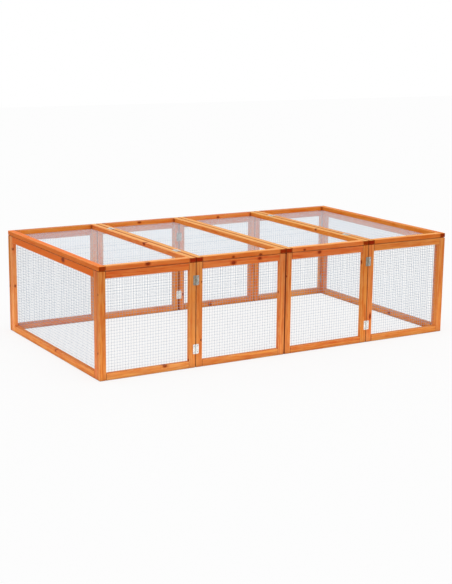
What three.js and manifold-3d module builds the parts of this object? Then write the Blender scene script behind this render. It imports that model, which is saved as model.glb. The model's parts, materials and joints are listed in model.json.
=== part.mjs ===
// Folding outdoor run for rabbits: two end panels, four front panels, four back panels and four lid
// panels. Each panel is a frame of four stained sticks with welded wire mesh on its inner face. Small
// butt hinges join the wall panels so that the walls fold like a bellows, and the outer lids flip over.
// Millimetres, +Z up, +X along the run, front towards -Y, origin on the ground at the middle.
import * as THREE from 'three';
import { mergeVertices } from 'three/addons/utils/BufferGeometryUtils.js';
import Module from 'manifold-3d';

const wasm = await Module();
wasm.setup();

// Overall sizes of the run, without the hinge knuckles that stand out of the faces.
const RUN_LENGTH = 1810;
const RUN_DEPTH = 1000;
const RUN_HEIGHT = 480;

// Sticks: planed fir, lightly chamfered along the edges, the rails let a little into the stiles.
const STICK_WIDTH = 30;
const STICK_THICKNESS = 20;
const STICK_CHAMFER = 1;
const RAIL_TENON = 0.5;

// Panels: how many make a long side, and the slots between them and at the corners.
const PANELS_PER_SIDE = 4;
const PANEL_GAP = 3;
const CORNER_GAP = 0.6;

// Wire mesh, drawn coarser than the real grid: a flat net of bars about this far apart each way.
const MESH_THICKNESS = 1.2;
const MESH_BAR = 8;
const MESH_WIDE_PITCH = 100;
const MESH_NARROW_PITCH = 80;
const MESH_CORNER_CLEARANCE = 4;
const LID_MESH_INSET = 8;

// Clearances: a fastened piece lies this far off the wood, and the lid's mesh this far over the walls.
const SEAT_GAP = 0.3;
const LID_REST_GAP = 0.4;

// Butt hinges: a pin leaf with two knuckles round the pin, and a plain leaf with one bored knuckle.
const HINGE_HEIGHT = 42;
const LEAF_REACH = 14;
const LEAF_THICKNESS = 1.2;
const KNUCKLE_RADIUS = 2.2;
const KNUCKLE_GAP = 0.4;
const PIN_RADIUS = 1;
const PIN_CLEARANCE = 0.3;
const SCREW_HOLE_RADIUS = 1.6;
const SCREW_HOLE_SPACING = 26;
const SCREW_HOLE_REACH = 8.5;
const ROUND_SIDES = 8;
const HOLE_CURVE_STEPS = 3;

// Hinge places: from the lower and upper end of the wall panels, and from the lids' front and back edge.
const WALL_HINGE_FROM_BOTTOM = 82;
const WALL_HINGE_FROM_TOP = 76;
const LID_HINGE_FROM_EDGE = 175;

// Sizes that follow from the ones above.
const PANEL_WIDTH = (RUN_LENGTH - (PANELS_PER_SIDE - 1) * PANEL_GAP) / PANELS_PER_SIDE;
const PANEL_PITCH = PANEL_WIDTH + PANEL_GAP;
const END_WIDTH = RUN_DEPTH - 2 * (STICK_THICKNESS + CORNER_GAP);
const LID_BOTTOM = RUN_HEIGHT - STICK_THICKNESS;
const WALL_HEIGHT = LID_BOTTOM - SEAT_GAP - MESH_THICKNESS - LID_REST_GAP;
const WALL_MESH_INSET = STICK_THICKNESS + MESH_CORNER_CLEARANCE;
const HINGE_AXIS_HEIGHT = KNUCKLE_RADIUS + 2 * SEAT_GAP;
const QUARTER_TURN = Math.PI / 2;
const HALF_TURN = Math.PI;

// Points this close together are one corner of a solid.
const MERGE_DISTANCE = 1e-4;

const WOOD_STAIN = new THREE.MeshStandardMaterial({ color: 0xd87432, roughness: 0.6, metalness: 0 });
const ZINC_WIRE = new THREE.MeshStandardMaterial({ color: 0xc4c8cc, roughness: 0.4, metalness: 0.9 });
const ZINC_PLATE = new THREE.MeshStandardMaterial({ color: 0xb9b8b0, roughness: 0.35, metalness: 0.9 });

// A closed geometry as a solid that can be joined and cut.
function solidOf(geometry) {
  const bare = geometry.clone();
  bare.deleteAttribute('normal');
  bare.deleteAttribute('uv');
  const merged = mergeVertices(bare, MERGE_DISTANCE);
  const mesh = new wasm.Mesh({
    numProp: 3,
    vertProperties: new Float32Array(merged.attributes.position.array),
    triVerts: new Uint32Array(merged.index.array),
  });
  return new wasm.Manifold(mesh);
}

// A solid back as a geometry.
function geometryOf(solid) {
  const mesh = solid.getMesh();
  const geometry = new THREE.BufferGeometry();
  geometry.setAttribute('position', new THREE.BufferAttribute(mesh.vertProperties, 3));
  geometry.setIndex(new THREE.BufferAttribute(mesh.triVerts, 1));
  geometry.computeVertexNormals();
  return geometry;
}

// One chamfered stick centred on the origin, running along local Y, its outer face at z = 0.
function stickSolid(length) {
  const half = STICK_WIDTH / 2;
  const section = new THREE.Shape();
  section.moveTo(-half + STICK_CHAMFER, 0);
  section.lineTo(-half, -STICK_CHAMFER);
  section.lineTo(-half, -STICK_THICKNESS + STICK_CHAMFER);
  section.lineTo(-half + STICK_CHAMFER, -STICK_THICKNESS);
  section.lineTo(half - STICK_CHAMFER, -STICK_THICKNESS);
  section.lineTo(half, -STICK_THICKNESS + STICK_CHAMFER);
  section.lineTo(half, -STICK_CHAMFER);
  section.lineTo(half - STICK_CHAMFER, 0);
  section.closePath();
  const stick = new THREE.ExtrudeGeometry(section, { depth: length, bevelEnabled: false });
  stick.translate(0, 0, -length / 2);
  stick.rotateX(-QUARTER_TURN);
  stick.rotateY(HALF_TURN);
  return solidOf(stick);
}

// A panel's frame in its own plane: centred in x, from y = 0 up, outer face at z = 0.
function frameGeometry(width, height) {
  const stileX = (width - STICK_WIDTH) / 2;
  const railLength = width - 2 * STICK_WIDTH + 2 * RAIL_TENON;
  const stile = stickSolid(height).translate(0, height / 2, 0);
  const rail = stickSolid(railLength).rotate(0, 0, 90);
  const frame = stile.translate(-stileX, 0, 0)
    .add(stile.translate(stileX, 0, 0))
    .add(rail.translate(0, STICK_WIDTH / 2, 0))
    .add(rail.translate(0, height - STICK_WIDTH / 2, 0));
  return geometryOf(frame);
}

// A block between two corners.
function blockSolid(left, bottom, back, right, top, front) {
  const block = new THREE.BoxGeometry(right - left, top - bottom, front - back);
  block.translate((left + right) / 2, (bottom + top) / 2, (back + front) / 2);
  return solidOf(block);
}

// The mesh of that panel, behind its inner face: a flat net whose gaps fill the frame's window.
function meshGeometry(width, height, inset, pitchAcross, pitchUp) {
  const windowWidth = width - 2 * STICK_WIDTH;
  const windowHeight = height - 2 * STICK_WIDTH;
  const columns = Math.round(windowWidth / pitchAcross);
  const rows = Math.round(windowHeight / pitchUp);
  const stepX = (windowWidth + MESH_BAR) / columns;
  const stepY = (windowHeight + MESH_BAR) / rows;
  const front = -STICK_THICKNESS - SEAT_GAP;
  const back = front - MESH_THICKNESS;
  let net = blockSolid(-width / 2 + inset, inset, back, width / 2 - inset, height - inset, front);
  for (let column = 0; column < columns; column += 1) {
    for (let row = 0; row < rows; row += 1) {
      const left = -windowWidth / 2 + column * stepX;
      const bottom = STICK_WIDTH + row * stepY;
      const right = left + stepX - MESH_BAR;
      const top = bottom + stepY - MESH_BAR;
      const gap = blockSolid(left, bottom, back - MESH_THICKNESS, right, top, front + MESH_THICKNESS);
      net = net.subtract(gap);
    }
  }
  return geometryOf(net);
}

// The three knuckles' stretches along the hinge: two outer ones on the pin leaf, the middle one plain.
const KNUCKLE_PITCH = HINGE_HEIGHT / 3;
const OUTER_KNUCKLE = KNUCKLE_PITCH - KNUCKLE_GAP / 2;
const MIDDLE_KNUCKLE = KNUCKLE_PITCH - KNUCKLE_GAP;

function cylinderAlongY(radius, length, centreY) {
  const cylinder = new THREE.CylinderGeometry(radius, radius, length, ROUND_SIDES);
  cylinder.translate(0, centreY, HINGE_AXIS_HEIGHT);
  return solidOf(cylinder);
}

// A leaf's plate on the +x side of the axis, over wood whose face is at z = 0. Its inner edge reaches
// under its own knuckles and stops clear of the other leaf's.
function plateSolid(ownKnuckles) {
  const half = HINGE_HEIGHT / 2;
  const clearEdge = KNUCKLE_RADIUS + KNUCKLE_GAP;
  const outline = new THREE.Shape();
  outline.moveTo(LEAF_REACH, -half);
  outline.lineTo(LEAF_REACH, half);
  outline.lineTo(clearEdge, half);
  for (const [top, bottom] of ownKnuckles) {
    if (top < half) outline.lineTo(clearEdge, top);
    outline.lineTo(0, top);
    outline.lineTo(0, bottom);
    if (bottom > -half) outline.lineTo(clearEdge, bottom);
  }
  outline.lineTo(clearEdge, -half);
  outline.closePath();
  for (const side of [-1, 1]) {
    const hole = new THREE.Path();
    hole.absarc(SCREW_HOLE_REACH, side * SCREW_HOLE_SPACING / 2, SCREW_HOLE_RADIUS, 0, 2 * Math.PI, true);
    outline.holes.push(hole);
  }
  const options = { depth: LEAF_THICKNESS, bevelEnabled: false, curveSegments: HOLE_CURVE_STEPS };
  const plate = new THREE.ExtrudeGeometry(outline, options);
  plate.translate(0, 0, SEAT_GAP);
  return solidOf(plate);
}

function pinLeafGeometry() {
  const half = HINGE_HEIGHT / 2;
  const centreY = half - OUTER_KNUCKLE / 2;
  const leaf = plateSolid([[half, half - OUTER_KNUCKLE], [OUTER_KNUCKLE - half, -half]])
    .add(cylinderAlongY(KNUCKLE_RADIUS, OUTER_KNUCKLE, centreY))
    .add(cylinderAlongY(KNUCKLE_RADIUS, OUTER_KNUCKLE, -centreY))
    .add(cylinderAlongY(PIN_RADIUS, HINGE_HEIGHT, 0));
  return geometryOf(leaf);
}

function plainLeafGeometry() {
  const half = MIDDLE_KNUCKLE / 2;
  const leaf = plateSolid([[half, -half]])
    .add(cylinderAlongY(KNUCKLE_RADIUS, MIDDLE_KNUCKLE, 0))
    .subtract(cylinderAlongY(PIN_RADIUS + PIN_CLEARANCE, HINGE_HEIGHT, 0));
  return geometryOf(leaf);
}

const run = new THREE.Group();

function addMesh(parent, name, geometry, material) {
  const mesh = new THREE.Mesh(geometry, material);
  mesh.name = name;
  parent.add(mesh);
  return mesh;
}

// A group whose local x, y and z are a wall's length, its height and its outward normal.
function wallGroup(x, y, heading) {
  const upright = new THREE.Group();
  upright.rotation.x = QUARTER_TURN;
  const turned = new THREE.Group();
  turned.position.set(x, y, 0);
  turned.rotation.z = heading;
  turned.add(upright);
  run.add(turned);
  return upright;
}

function addPanel(group, name, frame, mesh) {
  addMesh(group, `${name}_frame`, frame, WOOD_STAIN);
  addMesh(group, `${name}_mesh`, mesh, ZINC_WIRE);
}

// A hinge across a joint: its pin leaf lies on the group's +x side and its plain leaf on the -x side.
function addHinge(group, name, y) {
  const pinLeaf = addMesh(group, `${name}_pin_leaf`, PIN_LEAF, ZINC_PLATE);
  pinLeaf.position.y = y;
  const plainLeaf = addMesh(group, `${name}_plain_leaf`, PLAIN_LEAF, ZINC_PLATE);
  plainLeaf.position.y = y;
  plainLeaf.rotation.z = HALF_TURN;
}

const PIN_LEAF = pinLeafGeometry();
const PLAIN_LEAF = plainLeafGeometry();
const panelCentre = (index) => (index - (PANELS_PER_SIDE + 1) / 2) * PANEL_PITCH;
const jointCentre = (index) => (index - PANELS_PER_SIDE / 2) * PANEL_PITCH;

// Front and back walls, outer face on the run's outline, panels counted from the left end.
const WALL_FRAME = frameGeometry(PANEL_WIDTH, WALL_HEIGHT);
const WALL_MESH = meshGeometry(PANEL_WIDTH, WALL_HEIGHT, WALL_MESH_INSET, MESH_WIDE_PITCH, MESH_NARROW_PITCH);
const WALLS = [
  { name: 'front', outward: -1, heading: 0 },
  { name: 'back', outward: 1, heading: HALF_TURN },
];
for (const wall of WALLS) {
  const outerY = wall.outward * RUN_DEPTH / 2;
  for (let index = 1; index <= PANELS_PER_SIDE; index += 1) {
    const group = wallGroup(panelCentre(index), outerY, wall.heading);
    addPanel(group, `${wall.name}_${index}`, WALL_FRAME, WALL_MESH);
  }
  // Joints take turns: hinged on the outer face, then on the inner face, so the wall folds zigzag.
  for (let index = 1; index < PANELS_PER_SIDE; index += 1) {
    const inside = index % 2 === 0;
    const faceY = inside ? outerY - wall.outward * STICK_THICKNESS : outerY;
    const heading = inside ? HALF_TURN - wall.heading : wall.heading;
    const group = wallGroup(jointCentre(index), faceY, heading);
    const name = `${wall.name}_hinge_${index}${index + 1}`;
    addHinge(group, `${name}_lower`, WALL_HINGE_FROM_BOTTOM);
    addHinge(group, `${name}_upper`, WALL_HEIGHT - WALL_HINGE_FROM_TOP);
  }
}

// End panels, standing between the front and back walls.
const END_FRAME = frameGeometry(END_WIDTH, WALL_HEIGHT);
const END_MESH = meshGeometry(END_WIDTH, WALL_HEIGHT, WALL_MESH_INSET, MESH_WIDE_PITCH, MESH_NARROW_PITCH);
addPanel(wallGroup(-RUN_LENGTH / 2, 0, -QUARTER_TURN), 'left_end', END_FRAME, END_MESH);
addPanel(wallGroup(RUN_LENGTH / 2, 0, QUARTER_TURN), 'right_end', END_FRAME, END_MESH);

// Lids, one over each pair of wall panels, their side sticks running from front to back.
const LID_FRAME = frameGeometry(PANEL_WIDTH, RUN_DEPTH);
const LID_MESH = meshGeometry(PANEL_WIDTH, RUN_DEPTH, LID_MESH_INSET, MESH_NARROW_PITCH, MESH_WIDE_PITCH);
for (let index = 1; index <= PANELS_PER_SIDE; index += 1) {
  const group = new THREE.Group();
  group.position.set(panelCentre(index), -RUN_DEPTH / 2, RUN_HEIGHT);
  run.add(group);
  addPanel(group, `lid_${index}`, LID_FRAME, LID_MESH);
}

// The outer lids are hinged on top to the lids beside them.
for (let index = 1; index < PANELS_PER_SIDE; index += 2) {
  const group = new THREE.Group();
  group.position.set(jointCentre(index), 0, RUN_HEIGHT);
  run.add(group);
  const fromMiddle = RUN_DEPTH / 2 - LID_HINGE_FROM_EDGE;
  addHinge(group, `lid_hinge_${index}${index + 1}_front`, -fromMiddle);
  addHinge(group, `lid_hinge_${index}${index + 1}_back`, fromMiddle);
}

export default run;
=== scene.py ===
"""Looks of a folding outdoor run for rabbits: stained fir sticks, welded wire mesh, zinc butt hinges.

Everything is in metres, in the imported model's frame: +X along the run, front towards -Y, +Z up.
"""

import json
import math
import random

import bmesh
import bpy
from mathutils import Matrix, Vector, noise


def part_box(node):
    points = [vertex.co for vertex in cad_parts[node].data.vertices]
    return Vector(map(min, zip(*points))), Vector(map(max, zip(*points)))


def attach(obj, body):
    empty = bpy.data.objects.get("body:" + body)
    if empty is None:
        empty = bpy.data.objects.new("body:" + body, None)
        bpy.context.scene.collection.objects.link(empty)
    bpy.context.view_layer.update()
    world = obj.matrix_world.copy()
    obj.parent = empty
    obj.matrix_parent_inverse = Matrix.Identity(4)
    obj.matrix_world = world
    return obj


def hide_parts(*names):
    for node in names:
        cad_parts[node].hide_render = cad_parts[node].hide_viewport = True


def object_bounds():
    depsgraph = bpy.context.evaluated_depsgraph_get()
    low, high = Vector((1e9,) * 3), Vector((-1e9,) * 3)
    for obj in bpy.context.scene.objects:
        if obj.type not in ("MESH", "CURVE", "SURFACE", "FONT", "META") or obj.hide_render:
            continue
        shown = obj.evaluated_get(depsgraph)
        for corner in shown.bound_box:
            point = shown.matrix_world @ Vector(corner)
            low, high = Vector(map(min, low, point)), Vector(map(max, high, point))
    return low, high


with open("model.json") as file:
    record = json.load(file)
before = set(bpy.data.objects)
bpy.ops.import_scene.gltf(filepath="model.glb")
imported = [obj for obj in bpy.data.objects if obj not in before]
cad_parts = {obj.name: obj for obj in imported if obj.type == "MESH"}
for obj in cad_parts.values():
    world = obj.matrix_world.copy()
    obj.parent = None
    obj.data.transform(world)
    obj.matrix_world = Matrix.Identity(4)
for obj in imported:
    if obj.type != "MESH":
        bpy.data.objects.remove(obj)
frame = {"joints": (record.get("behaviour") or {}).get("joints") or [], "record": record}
CAD_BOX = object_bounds()

MM = 0.001
X, Y, Z = Vector((1, 0, 0)), Vector((0, 1, 0)), Vector((0, 0, 1))

# Sticks: planed and eased at the edges, the rails set between the stiles.
STICK_WIDTH = 30 * MM
STICK_THICKNESS = 20 * MM
EDGE_RADIUS = 1.7 * MM
EDGE_STEPS = 3
END_BEVEL = 1.8 * MM
RAIL_GAP = 0.15 * MM
STICK_STEP = 14 * MM
FLAT_SHARES = (0.04, 0.5, 0.96)
# Rings of points at a stick's end, in bevels: how far along, how far drawn in, how much end grain.
END_STEPS = ((0.0, 1.0, 1.0), (0.05, 0.8, 0.3), (0.35, 0.35, 0.0), (1.0, 0.0, 0.0))
# The faces wave a little and the edges are dented, with scales along the stick and across it.
WAVE = 0.1 * MM
WAVE_SCALE = (22, 60)
EDGE_DENT = 0.35 * MM
DENT_SCALE = (9, 40)
DENT_START = 0.15

# Welded mesh: two layers of thin wire, the upright wires against the wood. Wear is from 0 to 1, for
# bright to dull zinc, and below 0 the zinc has fewer dull patches.
WIRE_RADIUS = 0.44 * MM
WIRE_PITCH = 12.7 * MM
WIRE_SINK = 0.15 * MM
WIRE_OVERHANG = 1.5 * MM
# The walls' wires are duller zinc and the lids' brighter: painted shade and painted light, standing in for
# the light from above on the lids.
WALL_WIRE_WEAR_AND_SHADE = 0.6
LID_WIRE_WEAR_AND_LIGHT = -0.3
WIRE_SIDES = 6
WIRE_STEP = 45 * MM
WIRE_WANDER = 0.3 * MM
WANDER_SCALE = (12, 70)
SHEET_BULGE = 0.2 * MM
BULGE_SCALE = 8

# Staples straddle an upright wire and lie flat on the wood.
STAPLE_WIDTH = 9 * MM
STAPLE_WIRE = (0.55 * MM, 0.5 * MM)
STAPLE_PITCH = 95 * MM
STAPLE_STRETCH = 0.42
STAPLE_LEG = 2 * MM
STAPLE_INTO_SHEET = 4.2 * MM
STAPLE_INTO_WOOD = 2.5 * MM

# Butt hinges: sheet leaves rolled round a pin, with countersunk cross-head screws.
LEAF_REACH = 14 * MM
LEAF_THICKNESS = 1.2 * MM
LEAF_SEAT = 0.05 * MM
LEAF_CORNER = 2.5 * MM
LEAF_CORNER_STEPS = 6
LEAF_BEVEL = 0.12 * MM
TONGUE = 0.5
CURL = (-62, -360)
CURL_STEPS = 22
CURL_LAP = 1 * MM
PIN_RADIUS = 1.0 * MM
PIN_CLEARANCE = 0.08 * MM
PIN_DOME = 0.42 * MM
DOME_SHARES = (1.0, 0.9, 0.6, 0.3, 0.0)
PIN_SIDES = 16
KNUCKLE_RADIUS = 2.2 * MM
KNUCKLE_GAP = 0.4 * MM
AXIS_HEIGHT = 2.8 * MM
SCREW_REACH = 8.5 * MM
SCREW_SPACING = 26 * MM
SCREW_HEAD = 2.8 * MM
SCREW_SHANK = 1.5 * MM
SCREW_CORE = 0.8
SCREW_DOME = 0.25 * MM
SCREW_TIP = -6 * MM
SINK_CLEARANCE = 0.1 * MM
CROSS_REACH = 1.7 * MM
CROSS_HALF = 0.4 * MM
CROSS_DEPTH = 0.8 * MM
CROSS_TAPER = 0.6
CIRCLE_SIDES = 24
# Wear of a pin leaf with the pin and screws, and of a plain leaf.
BRIGHT_WEAR = (0.0, 0.0)
DULL_WEAR = (0.55, 0.85)

# Corner hinges: let in between an end's stile and the wall, on an axis at the inner corner.
CORNER_KNUCKLE = 1.7 * MM
CORNER_WALL_LEAF = 1.4 * MM
CORNER_BEVEL = 0.1 * MM
CORNER_WEAR = 0.3

# In degrees, from where an edge is sharp in the shading, and from where metal's is eased.
SMOOTH_WOOD, SMOOTH_WIRE, SMOOTH_METAL, SMOOTH_PIN = 40, 75, 35, 40
EASED_ANGLE = 60


# ------------ node trees

def srgb(red, green, blue):
    """A colour as written from 0 to 255, as the linear colour that a shader takes."""
    def linear(value):
        share = value / 255
        return share / 12.92 if share <= 0.04045 else ((share + 0.055) / 1.055) ** 2.4
    return linear(red), linear(green), linear(blue), 1.0


class Shader:
    """A material's or the world's node tree, built with one short call for each node."""

    def __init__(self, owner):
        self.owner = owner
        owner.use_nodes = True
        self.tree = owner.node_tree
        self.tree.nodes.clear()

    def node(self, kind, **settings):
        """A new shader node of that kind."""
        made = self.tree.nodes.new(f"ShaderNode{kind}")
        for name, value in settings.items():
            setattr(made, name, value)
        return made

    def feed(self, socket, value):
        """Link an input to another node's output, or set its own value."""
        if isinstance(value, bpy.types.NodeSocket):
            self.tree.links.new(value, socket)
        else:
            socket.default_value = value

    def fed(self, kind, **inputs):
        """The first output of a new node whose inputs are fed by name, with _ for a space."""
        made = self.node(kind)
        for name, value in inputs.items():
            self.feed(made.inputs[name.replace("_", " ")], value)
        return made.outputs[0]

    def attribute(self, name, output="Fac"):
        return self.node("Attribute", attribute_name=name).outputs[output]

    def math(self, operation, *values):
        made = self.node("Math", operation=operation)
        for socket, value in zip(made.inputs, values):
            self.feed(socket, value)
        return made.outputs[0]

    def vector(self, operation, *values, output="Vector"):
        made = self.node("VectorMath", operation=operation)
        for socket, value in zip(made.inputs, values):
            self.feed(socket, value)
        return made.outputs[output]

    def noise(self, place, scale, detail=2.0, roughness=0.5):
        return self.fed("TexNoise", Vector=place, Scale=scale, Detail=detail, Roughness=roughness)

    def ramp(self, value, start, end, low=0.0, high=1.0):
        """A smooth step of value, from low at start to high at end."""
        made = self.node("MapRange", interpolation_type="SMOOTHSTEP")
        for name, number in (("From Min", start), ("From Max", end), ("To Min", low), ("To Max", high)):
            self.feed(made.inputs[name], number)
        self.feed(made.inputs["Value"], value)
        return made.outputs[0]

    def mix(self, share, first, second, blend="MIX"):
        made = self.node("Mix", data_type="RGBA", blend_type=blend)
        for index, value in ((0, share), (6, first), (7, second)):
            self.feed(made.inputs[index], value)
        return made.outputs[2]

    def bump(self, height, strength, distance):
        return self.fed("Bump", Height=height, Strength=strength, Distance=distance)

    def surface(self, colour, roughness, normal, metallic=0.0, ior=1.5):
        return self.fed("BsdfPrincipled", Base_Color=colour, Roughness=roughness, Normal=normal,
                        Metallic=metallic, IOR=ior)

    def finish(self, shader):
        """Link the shader to the output, and give back the material or world."""
        output = "World" if isinstance(self.owner, bpy.types.World) else "Material"
        made = self.node(f"Output{output}")
        self.feed(made.inputs["Surface"], shader)
        return self.owner


# ------------ materials

# Stained fir. The grain attribute is a place in the stick in millimetres, with x along the pith.
EARLY_WOOD = srgb(247, 152, 67)
LATE_WOOD = srgb(206, 88, 26)
STREAK = srgb(220, 96, 28)
# Deeper stain, which on the top rails and the lids' front rails is painted shade.
DEEP_STAIN_AND_SHADE = srgb(250, 104, 0)
KNOT_CORE = srgb(84, 30, 0)
KNOT_HALO = srgb(184, 68, 8)
# Colour of the painted highlight along the lids' top faces.
WORN_EDGE = srgb(246, 178, 108)
HIGHLIGHT_COLOUR = srgb(246, 204, 116)
END_GRAIN = srgb(130, 24, 0)
END_RINGS = srgb(216, 84, 24)
# Colour of the painted shade, with some stain, in the seams.
SEAM_SHADE_AND_STAIN = srgb(118, 24, 0)
WOOD_IOR = 1.2
# How the noises stretch along the grain and across it. Ramps are start, end and the values there.
DRIFT_STRETCH = (0.004, 0.03, 0.03)
FIBRE_STRETCH = (0.035, 1, 1)
STREAK_STRETCH = (0.006, 0.16, 0.16)
BLOTCH_STRETCH = (0.018, 0.05, 0.05)
RUBBED_STRETCH = (0.05, 0.3, 0.3)
FIBRE_SCALE = 2.2
RING_WIDTH = 4.2
RING_DRIFT = 12.0
RING_RISE, RING_FALL = (0.35, 0.88), (1.0, 0.93)
LATE_SHARE = 0.5
STREAK_RAMP = (0.42, 0.66, 0.0, 0.75)
FIBRE_RAMP = (0.5, 0.78, 0.0, 0.35)
BLOTCH_RAMP = (0.35, 0.7, 0.0, 0.22)
RUBBED_RAMP = (0.4, 0.65, 0.1, 0.75)
END_RING_SHARE = 0.6
HUE_STEP, SATURATION_STEP, VALUE_STEP = 0.006, -0.015, 0.055
ROUGHNESS_RAMP = (0.2, 0.8, 0.46, 0.62)
END_ROUGHNESS = 0.35
FIBRE_RELIEF, RING_RELIEF, KNOT_RELIEF = 0.6, 0.5, 0.5
WOOD_BUMP = (0.35, 0.25 * MM)
# Knots: the grain swells round them. Distances are in radii of the knot.
KNOTS_PER_STICK = 3
KNOT_STRETCH = (0.72, 1, 1)
KNOT_DEPTH = 1.0
CORE_RAMP = (1.2, 0.9)
HALO_RAMP = (2.4, 1.0)
HALO_SHARE = 0.75
SWELL_RAMP = (3.2, 0.0)
KNOT_SWELL = 5.0
CORE_FIBRE_RAMP = (0.3, 0.7)
# Painted shade, with some stain, darkens the joints between panels, listed from left to right, and where a
# rail meets its stiles.
WALL_JOINT_SHADE_AND_STAIN = (0.0, 0.45, 0.95, 0.45, 0.0)
LID_JOINT_SHADE_AND_STAIN = (0.0, 0.8, 0.75, 0.8, 0.0)
CORNER_SHADE_AND_STAIN = 0.65
SHADE_AND_STAIN_REACH = 3.6 * MM
# Painted shadow, with some stain, along the arrises where lids and walls meet and at the run's corners.
ARRIS_SHADE_AND_STAIN = 0.28
# How far painted shade, with some stain, reaches from a rail's ends, in the groove where it meets a stile;
# on the lids' back rails it reaches further, as painted shadow beside the sticks.
RAIL_SEAM = 2.4 * MM
BACK_RAIL_SEAM = 9 * MM
# Painted shade that darkens the top faces of the lids' back rails.
BACK_RAIL_TOP_SHADE = 0.25
TOP_FACE_FROM = 0.45 * STICK_THICKNESS
# Painted shade on the walls' bottom rails, on their faces under the windows.
SILL_SHADE = 0.25


def knot_distance(s, grain):
    """How far a point is from the nearest knot's axis, or beyond its depth, in radii of that knot."""
    nearest = None
    for number in range(1, KNOTS_PER_STICK + 1):
        axis = s.attribute(f"knot{number}_axis", "Vector")
        away = s.vector("SUBTRACT", grain, s.attribute(f"knot{number}_centre", "Vector"))
        away = s.vector("MULTIPLY", away, KNOT_STRETCH)
        across = s.vector("LENGTH", s.vector("CROSS_PRODUCT", away, axis), output="Value")
        square = s.vector("DOT_PRODUCT", axis, axis, output="Value")
        depth = s.math("DIVIDE", s.vector("DOT_PRODUCT", away, axis, output="Value"), square)
        beyond = s.math("SUBTRACT", s.math("ABSOLUTE", depth), KNOT_DEPTH)
        distance = s.math("MAXIMUM", s.math("DIVIDE", across, square), beyond)
        nearest = distance if nearest is None else s.math("MINIMUM", nearest, distance)
    return nearest


def wood_material():
    """Stained fir with rings round its pith, fibres, streaks, knots, worn edges, deeper stain, painted
    shade with some stain in the seams, a painted highlight on the lids' tops, and end grain.
    """
    s = Shader(bpy.data.materials.new("stained_wood"))
    grain = s.attribute("grain", "Vector")
    cap = s.attribute("cap")
    tint = s.attribute("tint")
    knot = knot_distance(s, grain)
    core = s.ramp(knot, *CORE_RAMP)
    halo = s.ramp(knot, *HALO_RAMP)

    def grain_noise(stretch, scale, detail, roughness=0.5):
        return s.noise(s.vector("MULTIPLY", grain, stretch), scale, detail, roughness)

    radius = s.vector("LENGTH", s.vector("MULTIPLY", grain, (0, 1, 1)), output="Value")
    bent = s.math("MULTIPLY_ADD", grain_noise(DRIFT_STRETCH, 1.0, 3.0), RING_DRIFT, radius)
    bent = s.math("MULTIPLY_ADD", s.ramp(knot, *SWELL_RAMP), KNOT_SWELL, bent)
    phase = s.math("FRACT", s.math("DIVIDE", bent, RING_WIDTH))
    ring = s.math("MULTIPLY", s.ramp(phase, *RING_RISE), s.ramp(phase, *RING_FALL))

    fibre = grain_noise(FIBRE_STRETCH, FIBRE_SCALE, 4.0, 0.65)
    streak = grain_noise(STREAK_STRETCH, 1.0, 3.0, 0.6)
    blotch = grain_noise(BLOTCH_STRETCH, 1.0, 2.0)

    colour = s.mix(s.math("MULTIPLY", ring, LATE_SHARE), EARLY_WOOD, LATE_WOOD)
    colour = s.mix(s.ramp(streak, *STREAK_RAMP), colour, STREAK)
    colour = s.mix(s.ramp(fibre, *FIBRE_RAMP), colour, LATE_WOOD)
    colour = s.mix(s.ramp(blotch, *BLOTCH_RAMP), colour, WORN_EDGE)
    # Deeper stain; on the top rails and the lids' front rails it is painted shade.
    colour = s.mix(s.attribute("depth"), colour, DEEP_STAIN_AND_SHADE)
    # A painted highlight down the middle of the lids' top faces.
    colour = s.mix(s.attribute("pale"), colour, HIGHLIGHT_COLOUR)
    colour = s.mix(s.math("MULTIPLY", halo, HALO_SHARE), colour, KNOT_HALO)
    colour = s.mix(core, colour, s.mix(s.ramp(fibre, *CORE_FIBRE_RAMP), KNOT_CORE, KNOT_HALO))

    rubbed = grain_noise(RUBBED_STRETCH, 1.0, 4.0, 0.7)
    worn = s.math("MULTIPLY", s.attribute("edge"), s.ramp(rubbed, *RUBBED_RAMP))
    colour = s.mix(worn, colour, WORN_EDGE)
    # Painted shade with some stain darkens the seams: panel gaps, rail ends, arrises where lids meet walls,
    # back rails' tops and window sills.
    colour = s.mix(s.attribute("seam"), colour, SEAM_SHADE_AND_STAIN)
    ends = s.mix(s.math("MULTIPLY", s.math("SUBTRACT", 1.0, ring), END_RING_SHARE), END_GRAIN, END_RINGS)
    colour = s.mix(cap, colour, ends)

    colour = s.fed("HueSaturation", Color=colour,
                   Hue=s.math("MULTIPLY_ADD", s.attribute("warmth"), HUE_STEP, 0.5),
                   Saturation=s.math("MULTIPLY_ADD", tint, SATURATION_STEP, 1.0),
                   Value=s.math("MULTIPLY_ADD", tint, VALUE_STEP, 1.0))

    roughness = s.math("MULTIPLY_ADD", cap, END_ROUGHNESS, s.ramp(fibre, *ROUGHNESS_RAMP))
    height = s.math("MULTIPLY_ADD", fibre, FIBRE_RELIEF, s.math("MULTIPLY", ring, RING_RELIEF))
    height = s.math("MULTIPLY_ADD", core, KNOT_RELIEF, height)
    return s.finish(s.surface(colour, roughness, s.bump(height, *WOOD_BUMP), ior=WOOD_IOR))


PATCH_RAMP = (0.35, 0.7, 0.0, 0.6)
FINE_PER_PATCH = 7
FINE_RANGE = (0.3, 0.7)
SMOOTHER, ROUGHER = 0.08, 0.1
METAL_BUMP = (0.2, 0.05 * MM)


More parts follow.
